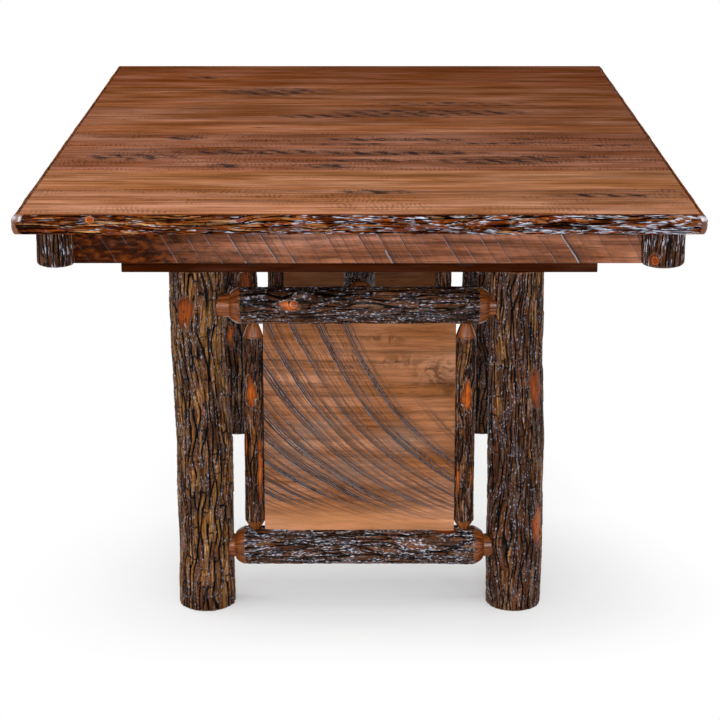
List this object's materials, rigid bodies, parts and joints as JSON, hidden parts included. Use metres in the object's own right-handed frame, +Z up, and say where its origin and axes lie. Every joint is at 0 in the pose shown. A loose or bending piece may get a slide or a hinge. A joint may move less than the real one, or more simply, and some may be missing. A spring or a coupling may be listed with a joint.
{
  "type": "extending trestle table",
  "caption": "Log-legged trestle table with a sawn board top that parts across the middle and slides open, bark edging, apron, corner stubs and panelled trestles.",
  "frame": {"origin": "on the floor under the middle of the closed table top", "axes": "+X across the table, +Y along its length away from the near end, +Z up"},
  "size_m": [1.092, 1.549, 0.762],
  "materials": {
    "sawn_wood": "rough-sawn boards, stained brown, satin lacquer",
    "hickory_bark": "hickory with its bark on, glossy lacquer",
    "slide_maple": "planed maple, stained brown and waxed",
    "screw_steel": "zinc plated"
  },
  "bodies": {
    "base": {"far_bottom_rail": "hickory_bark", "far_cleat": "sawn_wood", "far_left_leg": "hickory_bark", "far_panel": "sawn_wood", "far_right_leg": "hickory_bark", "far_spindles": "hickory_bark", "far_top_rail": "hickory_bark", "left_fixed_slide": "slide_maple", "near_bottom_rail": "hickory_bark", "near_cleat": "sawn_wood", "near_left_leg": "hickory_bark", "near_panel": "sawn_wood", "near_right_leg": "hickory_bark", "near_spindles": "hickory_bark", "near_top_rail": "hickory_bark", "right_fixed_slide": "slide_maple", "stretcher": "hickory_bark"},
    "near_half": {"alignment_keys": "slide_maple", "near_board_1": "sawn_wood", "near_board_2": "sawn_wood", "near_board_3": "sawn_wood", "near_board_4": "sawn_wood", "near_board_5": "sawn_wood", "near_board_6": "sawn_wood", "near_corner_stubs": "hickory_bark", "near_end_apron": "sawn_wood", "near_end_edging": "hickory_bark", "near_left_apron": "sawn_wood", "near_left_edging": "hickory_bark", "near_left_slide": "slide_maple", "near_right_apron": "sawn_wood", "near_right_edging": "hickory_bark", "near_right_slide": "slide_maple"},
    "far_half": {"far_board_1": "sawn_wood", "far_board_2": "sawn_wood", "far_board_3": "sawn_wood", "far_corner_stubs": "hickory_bark", "far_end_apron": "sawn_wood", "far_end_edging": "hickory_bark", "far_left_apron": "sawn_wood", "far_left_edging": "hickory_bark", "far_left_slide": "slide_maple", "far_right_apron": "sawn_wood", "far_right_edging": "hickory_bark", "far_right_slide": "slide_maple"}
  },
  "joints": [
    {"name": "near_half_slide", "type": "slide", "parent": "base", "child": "near_half", "axis": [0, -1, 0], "range_m": [0, 0.305]},
    {"name": "far_half_slide", "type": "slide", "parent": "base", "child": "far_half", "axis": [0, 1, 0], "range_m": [0, 0.305]}
  ]
}
